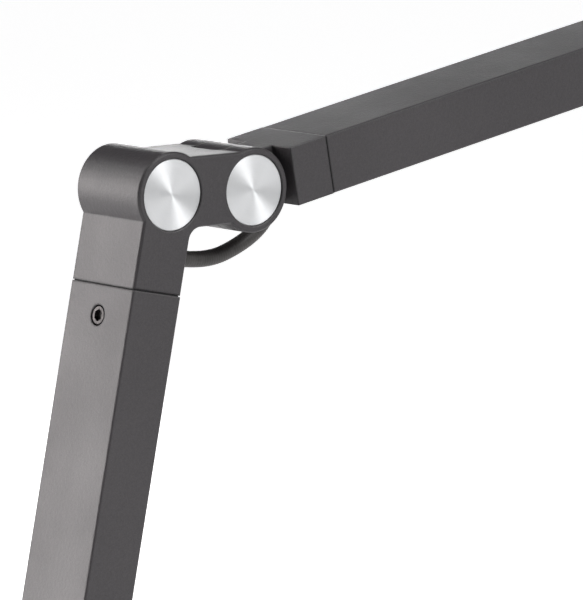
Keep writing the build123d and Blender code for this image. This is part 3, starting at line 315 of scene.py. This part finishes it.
def join_rings(work, rings):
    """Four-sided faces between neighbouring rings, which all have the same number of points."""
    for before, after in zip(rings, rings[1:]):
        for side in range(len(before)):
            other = (side + 1) % len(before)
            work.faces.new((before[side], before[other], after[other], after[side]))


def write_mesh(work, mesh):
    """Turn the faces outward and write them into a mesh."""
    bmesh.ops.recalc_face_normals(work, faces=work.faces)
    work.to_mesh(mesh)
    work.free()


def lathe(name, profile, segments, across_flats=None):
    """Mesh of (radius, height) points turned about local Z, closed at the axis. Radius None is a hexagon."""
    mesh = bpy.data.meshes.new(name)
    work = bmesh.new()
    rings = []
    for radius, height in profile:
        if radius == 0:
            rings.append([work.verts.new((0, 0, height))])
            continue
        ring = []
        for turn in (2 * pi * index / segments for index in range(segments)):
            reach = hexagon(across_flats, turn) if radius is None else radius
            ring.append(work.verts.new((reach * cos(turn), reach * sin(turn), height)))
        rings.append(ring)
    for inner, outer in zip(rings, rings[1:]):
        for index in range(segments):
            after = (index + 1) % segments
            corners = [inner[index % len(inner)], outer[index % len(outer)], outer[after % len(outer)]]
            if len(inner) > 1:
                corners = [inner[index], outer[index % len(outer)], outer[after % len(outer)], inner[after]]
            work.faces.new(list(dict.fromkeys(corners)))
    write_mesh(work, mesh)
    return mesh


def shade_smooth(mesh, sharp_angle):
    """Smooth shading, with the edges that turn by more than an angle in degrees left sharp."""
    for face in mesh.polygons:
        face.use_smooth = True
    mesh.set_sharp_from_angle(angle=radians(sharp_angle))


# ---------------------------------------------------------------- spun discs
DISC_RADIUS = 10.67 * MM
DISC_THICKNESS = 1.2 * MM
DISC_FACE = 14.45 * MM  # disc face from the arms' middle plane
DISC_BEVEL = 0.22 * MM
DISC_DISH = 0.10 * MM
DISH_CURVE = ((0, 1), (0.25, 0.94), (0.5, 0.75), (0.75, 0.44))  # shares of the radius and of the dish's depth
DISC_SEGMENTS = 128


def add_disc(name, place, side, body):
    """One spun disc: bevelled rim, faintly dished face. side is -1 on the near face and 1 on the far face."""
    profile = [(DISC_RADIUS * reach, -DISC_DISH * depth) for reach, depth in DISH_CURVE]
    profile += [
        (DISC_RADIUS - 2 * DISC_BEVEL, 0),
        (DISC_RADIUS - DISC_BEVEL, 0),
        (DISC_RADIUS, -DISC_BEVEL),
        (DISC_RADIUS, -DISC_THICKNESS),
        (0, -DISC_THICKNESS),
    ]
    mesh = lathe(name, profile, DISC_SEGMENTS)
    shade_smooth(mesh, 25)
    disc = new_piece(name, mesh, "spun_aluminium")
    move = Matrix.Translation(place + Vector((0, side * DISC_FACE, 0)))
    disc.matrix_world = move @ Matrix.Rotation(-side * pi / 2, 4, "X")
    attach(disc, body)
    return disc


BASE_BARREL = SHOULDER + Vector((30.51, 0, -5.3)) * MM
DISC_PLACES = {
    "base_discs": ("base", [BASE_BARREL, SHOULDER]),
    "elbow_discs": ("lower_arm", [FIXED_BARREL, ELBOW]),
    "head_discs": ("upper_arm", [HEAD_PIVOT]),
}

for node, (body, places) in DISC_PLACES.items():
    for number, place in enumerate(places, 1):
        for side, side_name in ((-1, "near"), (1, "far")):
            disc = add_disc(f"{node[:-1]}_{number}_{side_name}", place, side, body)
            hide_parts(node)


# ---------------------------------------------------------------- clamp screw
THREAD_TOP = -41.0 * MM  # the neck above carries the swivel foot
THREAD_END = -117.0 * MM  # inside the knob
THREAD_RADIUS = 4.95 * MM
THREAD_PITCH = 1.5 * MM
THREAD_DEPTH = 0.85 * MM
NECK_RADIUS = 3.15 * MM
BALL_RADIUS = 4.1 * MM
BALL_HEIGHT = -36.6 * MM
NECK_START = THREAD_TOP + 0.3 * MM
BALL_TURNS = [radians(angle) for angle in range(-48, 73, 12)]  # from the neck up to a small flat top
CREST_HEIGHT = 1.35  # in thread depths, before the crest is cut flat at 1
FLANK_SLOPE = 1.7
THREAD_SIDES = 48
THREAD_STEPS = 8  # rows of points in one pitch


def add_clamp_screw():
    """Threaded clamp screw with a plain neck and a ball end inside the swivel foot."""
    mesh = bpy.data.meshes.new("threaded_screw")
    work = bmesh.new()
    rows = round((THREAD_TOP - THREAD_END) / THREAD_PITCH * THREAD_STEPS)
    rings = []
    for row in range(rows + 1):
        height = THREAD_END + (THREAD_TOP - THREAD_END) * row / rows
        near_end = min(1.0, row / THREAD_STEPS, (rows - row) / THREAD_STEPS)
        ring = []
        for side in range(THREAD_SIDES):
            turn = 2 * pi * side / THREAD_SIDES
            phase = (height / THREAD_PITCH - side / THREAD_SIDES) % 1.0
            ridge = min(1.0, max(0.0, CREST_HEIGHT - abs(2 * phase - 1) * FLANK_SLOPE))
            reach = THREAD_RADIUS - THREAD_DEPTH * (1 - ridge * near_end)
            ring.append(work.verts.new((reach * cos(turn), reach * sin(turn), height)))
        rings.append(ring)
    top = [(NECK_RADIUS, NECK_START)]
    top += [(BALL_RADIUS * cos(turn), BALL_HEIGHT + BALL_RADIUS * sin(turn)) for turn in BALL_TURNS]
    for reach, height in top:
        turns = [2 * pi * side / THREAD_SIDES for side in range(THREAD_SIDES)]
        rings.append([work.verts.new((reach * cos(turn), reach * sin(turn), height)) for turn in turns])
    join_rings(work, rings)
    work.faces.new(rings[0])
    work.faces.new(rings[-1])
    write_mesh(work, mesh)
    shade_smooth(mesh, 50)
    screw = new_piece("threaded_screw", mesh, "clear_zinc_steel")
    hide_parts("clamp_screw")
    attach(screw, "clamp_screw")


add_clamp_screw()


# ---------------------------------------------------------------- set screws and dark seam frames that paint shade
LOWER_DIRECTION = radians(78.25)  # above +X
UPPER_DIRECTION = radians(10.63)
LOWER_ARM = 390.0 * MM
UPPER_ARM = 370.0 * MM
LEG_LENGTH = 28.9 * MM
LOWER_ALONG = Vector((cos(LOWER_DIRECTION), 0, sin(LOWER_DIRECTION)))
UPPER_ALONG = Vector((cos(UPPER_DIRECTION), 0, sin(UPPER_DIRECTION)))
TUBE_DEPTH = 18.0 * MM
TUBE_WIDTH = 29.6 * MM
TUBE_WALL = 1.6 * MM
SEAM = 0.35 * MM
# the dark seam frames stand in for the shade inside each seam
SHADE_FRAME_SUNK = 0.55 * MM
SHADE_FRAME_CHAMFER = 0.12 * MM
SHADE_FRAME_EDGE = 0.42  # half thicknesses, as shares of the seam
SHADE_FRAME_BODY = 0.48
SCREW_RADIUS = 2.98 * MM
SCREW_SUNK = 0.16 * MM
SCREW_LENGTH = 4.4 * MM
SCREW_SOCKET = 3.3 * MM  # across the flats
SOCKET_DEPTH = SCREW_SOCKET * 0.4
SOCKET_TIP = SCREW_SOCKET * 0.45
SCREW_END = ((0.42, 0), (0.32, 0.05), (0.05, 0.70), (0, 0.9))  # millimetres in from the side and down
SCREW_SEGMENTS = 48
SCREW_FROM_SEAM = 9.3 * MM
BLOCK_END = 29.61 * MM
LOWER_LEG_END = LOWER_ARM - LEG_LENGTH
HEAD_BLOCK_START = UPPER_ARM - BLOCK_END


def add_set_screw(name, place, outward, body):
    """Socket set screw with a chamfered end and a hexagon socket."""
    profile = [(0, -SOCKET_TIP), (None, -SOCKET_DEPTH), (None, 0)]
    profile += [(SCREW_RADIUS - inset * MM, -drop * MM) for inset, drop in SCREW_END]
    profile += [(SCREW_RADIUS, -SCREW_LENGTH), (0, -SCREW_LENGTH)]
    mesh = lathe(name, profile, SCREW_SEGMENTS, SCREW_SOCKET)
    screw = new_piece(name, mesh, "set_screw_steel")
    turn = Vector((0, 0, 1)).rotation_difference(outward).to_matrix().to_4x4()
    screw.matrix_world = Matrix.Translation(place - outward * SCREW_SUNK) @ turn
    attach(screw, body)
    return screw


def add_seam_shade_frame(name, middle, along, body):
    """Dark frame in the seam between a tube and its bracket, sunk below the faces: painted shade that darkens the
    seam.
    """
    aside = Vector((-along.z, 0, along.x))
    mesh = bpy.data.meshes.new(name)
    work = bmesh.new()
    loops = []
    upper_side = [
        (SHADE_FRAME_SUNK, SHADE_FRAME_EDGE),
        (SHADE_FRAME_SUNK + SHADE_FRAME_CHAMFER, SHADE_FRAME_BODY),
        (TUBE_WALL, SHADE_FRAME_BODY),
    ]
    lower_side = [(sink, -half) for sink, half in reversed(upper_side)]
    for sink, half in upper_side + lower_side:
        high = TUBE_DEPTH / 2 - sink
        wide = TUBE_WIDTH / 2 - sink
        corners = ((high, wide), (high, -wide), (-high, -wide), (-high, wide))
        middle_now = middle + along * SEAM * half
        loops.append([work.verts.new(middle_now + aside * up + ACROSS * over) for up, over in corners])
    join_rings(work, loops + loops[:1])
    write_mesh(work, mesh)
    # black frame that paints the seam dark, as shade would
    shade_frame = new_piece(name, mesh, "black_rubber")
    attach(shade_frame, body)


LOWER_OUTWARD = Vector((-LOWER_ALONG.z, 0, LOWER_ALONG.x))
UPPER_OUTWARD = Vector((UPPER_ALONG.z, 0, -UPPER_ALONG.x))
SEAMS = [
    ("lower_arm", SHOULDER, LOWER_ALONG, LOWER_OUTWARD, BLOCK_END, 1),
    ("lower_arm", SHOULDER, LOWER_ALONG, LOWER_OUTWARD, LOWER_LEG_END, -1),
    ("upper_arm", ELBOW, UPPER_ALONG, UPPER_OUTWARD, BLOCK_END, 1),
    ("upper_arm", ELBOW, UPPER_ALONG, UPPER_OUTWARD, HEAD_BLOCK_START, -1),
]  # the last value says which way along the arm the tube lies

for number, (body, pivot, along, outward, reach, tube_side) in enumerate(SEAMS, 1):
    node = f"{body}_set_screws"
    place = pivot + along * (reach + tube_side * SCREW_FROM_SEAM) + outward * TUBE_DEPTH / 2
    screw = add_set_screw(f"set_screw_{number}", place, outward, body)
    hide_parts(node)

for number, (body, pivot, along, outward, reach, tube_side) in enumerate(SEAMS, 1):
    add_seam_shade_frame(f"seam_shade_frame_{number}", pivot + along * (reach + tube_side * SEAM / 2), along, body)


# ---------------------------------------------------------------- cable loops
def beside(place, offsets):
    """Points at (X, Z) offsets in millimetres from a place, in the plane through the middle of the arms."""
    return [place + Vector((right, 0, up)) * MM for right, up in offsets]


SHOULDER_ROUTE = beside(
    Vector((0, 0, 0)),
    [
        (-8.0, 59.0),
        (-18.5, 58.2),
        (-29.5, 58.4),
        (-40.0, 61.6),
        (-48.6, 68.6),
        (-53.6, 78.6),
        (-53.4, 89.6),
        (-47.0, 98.4),
        (-39.5, 101.2),
        (-32.1, 99.3),
    ],
)
ELBOW_ROUTE = beside(
    FIXED_BARREL,
    [
        (1.2, -18.75),
        (9.5, -20.6),
        (18.4, -22.3),
        (27.6, -22.4),
        (36.2, -19.7),
        (43.0, -16.3),
        (47.5, -12.2),
        (49.2, -6.8),
        (47.8, -2.9),
    ],
)
HEAD_ROUTE = beside(
    HEAD_PIVOT,
    [
        (-22.4, -9.3),
        (-22.0, -17.3),
        (-26.6, -24.2),
        (-24.6, -32.0),
        (-17.0, -34.6),
        (-9.8, -32.2),
        (-2.6, -29.0),
    ],
)
CABLE_SIDES = 28
RIB_PITCH = 0.9 * MM
RIB_DEPTH = 0.06 * MM
RINGS_PER_RIB = 6


def smooth_line(name, route):
    """Points along the smooth line that a route's points control."""
    curve = bpy.data.curves.new(name, "CURVE")
    curve.dimensions = "3D"
    curve.resolution_u = 24
    spline = curve.splines.new("NURBS")
    spline.points.add(len(route) - 1)
    for point, place in zip(spline.points, route):
        point.co = (*place, 1.0)
    spline.order_u = 3
    spline.use_endpoint_u = True
    holder = bpy.data.objects.new(name, curve)
    line = bpy.data.meshes.new_from_object(holder)
    points = [vertex.co.copy() for vertex in line.vertices]
    bpy.data.objects.remove(holder)
    bpy.data.meshes.remove(line)
    return points


def even_points(points, step):
    """Points at an even step along a line, and the line's length."""
    reached = [0.0]
    for before, after in zip(points, points[1:]):
        reached.append(reached[-1] + (after - before).length)
    total = reached[-1]
    count = max(2, round(total / step))
    places = []
    index = 0
    for number in range(count + 1):
        wanted = total * number / count
        while index < len(points) - 2 and reached[index + 1] < wanted:
            index += 1
        share = (wanted - reached[index]) / (reached[index + 1] - reached[index])
        places.append(points[index].lerp(points[index + 1], min(1.0, share)))
    return places, total


def ribbed_cable(name, route, diameter, nodes):
    """Sleeved cable along a route in the middle plane, with fine rings, fixed in its world place."""
    places, length = even_points(smooth_line(name, route), RIB_PITCH / RINGS_PER_RIB)
    mesh = bpy.data.meshes.new(name)
    work = bmesh.new()
    rings = []
    for index, place in enumerate(places):
        ahead = places[min(index + 1, len(places) - 1)] - places[max(index - 1, 0)]
        aside = ahead.normalized().cross(ACROSS)
        phase = 2 * pi * index / RINGS_PER_RIB
        radius = diameter / 2 - RIB_DEPTH * (0.5 - 0.5 * cos(phase))
        turns = [2 * pi * side / CABLE_SIDES for side in range(CABLE_SIDES)]
        rings.append([work.verts.new(place + (ACROSS * cos(t) + aside * sin(t)) * radius) for t in turns])
    join_rings(work, rings)
    work.faces.new(rings[0])
    work.faces.new(rings[-1])
    write_mesh(work, mesh)
    for face in mesh.polygons:
        face.use_smooth = len(face.vertices) == 4
    cable = new_piece(name, mesh, "cable_sleeve")
    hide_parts(*nodes)
    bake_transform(cable)


CABLE_DIAMETER = 5.0 * MM
HEAD_CABLE_DIAMETER = 3.5 * MM
ribbed_cable(
    "shoulder_cable", SHOULDER_ROUTE, CABLE_DIAMETER,
    ["shoulder_loop"],
)
ribbed_cable(
    "elbow_cable", ELBOW_ROUTE, CABLE_DIAMETER,
    ["elbow_loop"],
)
ribbed_cable(
    "head_cable", HEAD_ROUTE, HEAD_CABLE_DIAMETER,
    ["head_loop"],
)


# ---------------------------------------------------------------- floor, world and lights
FLOOR_HALF = 30.0
FLOOR_GLOW_NEAR = 0.36
FLOOR_GLOW_FAR = 0.85
FLOOR_GLOW_START = 0.3
FLOOR_GLOW_END = 1.6
BACKDROP = (1, 1, 1, 1)
BACKDROP_TOP = 0.12
OVERHEAD = (0.12, 0.12, 0.123, 1)
OVERHEAD_START = 0.26
DARK_SIDE = (-0.77, -0.64, 0.0)  # from the lamp, roughly to the camera
DARK_STRENGTH = 0.08


def add_floor():
    """Wide pale floor just under the lamp's lowest point, with painted light: its emission glows more towards the
    back.
    """
    mesh = bpy.data.meshes.new("floor")
    sides = ((-1, -1), (1, -1), (1, 1), (-1, 1))
    corners = [(right * FLOOR_HALF, back * FLOOR_HALF, 0) for right, back in sides]
    mesh.from_pydata(corners, [], [(0, 1, 2, 3)])
    floor = bpy.data.objects.new("floor", mesh)
    floor.location.z = FLOOR_HEIGHT
    bpy.context.collection.objects.link(floor)
    pale = Material("floor_pale", Roughness=0.9, Specular_IOR_Level=0.1)
    pale.shader.inputs["Base Color"].default_value = (0.86, 0.86, 0.86, 1)
    pale.shader.inputs["Emission Color"].default_value = (1, 1, 1, 1)
    # painted light: emission that brightens the floor towards the back, as a lit backdrop would
    depth = pale.node("SeparateXYZ", {"Vector": pale.coords}).outputs["Y"]
    glow = pale.remap(depth, FLOOR_GLOW_NEAR, FLOOR_GLOW_FAR, FLOOR_GLOW_START, FLOOR_GLOW_END)
    pale.link(glow, "Emission Strength")
    mesh.materials.append(pale.data)


def add_world():
    """White low down, darker overhead and on the camera's side, as in a studio with a lit backdrop."""
    world = bpy.data.worlds.new("studio")
    bpy.context.scene.world = world
    world.use_nodes = True
    nodes, links = world.node_tree.nodes, world.node_tree.links
    background = nodes["Background"]
    coords = nodes.new("ShaderNodeTexCoord")
    split = nodes.new("ShaderNodeSeparateXYZ")
    ramp = nodes.new("ShaderNodeValToRGB")
    links.new(coords.outputs["Generated"], split.inputs[0])
    links.new(split.outputs["Z"], ramp.inputs[0])
    stops = ((BACKDROP_TOP, BACKDROP), (OVERHEAD_START, OVERHEAD))
    for element, (position, colour) in zip(ramp.color_ramp.elements, stops):
        element.position = position
        element.color = colour
    beside_camera = nodes.new("ShaderNodeVectorMath")
    beside_camera.operation = "DOT_PRODUCT"
    links.new(coords.outputs["Generated"], beside_camera.inputs[0])
    beside_camera.inputs[1].default_value = DARK_SIDE
    dark = nodes.new("ShaderNodeMapRange")
    links.new(beside_camera.outputs["Value"], dark.inputs["Value"])
    dark.inputs["From Min"].default_value = 0.45
    dark.inputs["From Max"].default_value = 0.9
    dark.inputs["To Min"].default_value = 1.0
    dark.inputs["To Max"].default_value = DARK_STRENGTH
    links.new(ramp.outputs[0], background.inputs["Color"])
    links.new(dark.outputs["Result"], background.inputs["Strength"])


def add_softbox(name, place, aim, size, power, colour=(1, 1, 1)):
    """Rectangular area light in watts, aimed at a point, that camera rays don't see."""
    data = bpy.data.lights.new(name, "AREA")
    data.shape = "RECTANGLE"
    data.size, data.size_y = size
    data.energy = power
    data.color = colour
    light = bpy.data.objects.new(name, data)
    light.location = place
    light.rotation_euler = (Vector(aim) - Vector(place)).to_track_quat("-Z", "Y").to_euler()
    light.visible_camera = False
    bpy.context.collection.objects.link(light)


MIDDLE = FIXED_BARREL
add_floor()
add_world()
add_softbox("softbox_back_left", (-2.0, 2.3, 0.85), MIDDLE, (1.8, 1.9), 64.0, (1.0, 0.955, 0.95))
add_softbox("strip_back_right", (2.2, 2.6, 0.86), MIDDLE, (2.4, 0.5), 28.0)
add_softbox("softbox_back_high", (-1.2, 2.2, 2.1), MIDDLE, (1.3, 1.1), 12.0)
add_softbox("softbox_front_top", (0.7, -2.0, 2.3), MIDDLE, (1.3, 1.3), 48.0)
bpy.context.scene.view_settings.view_transform = "Standard"
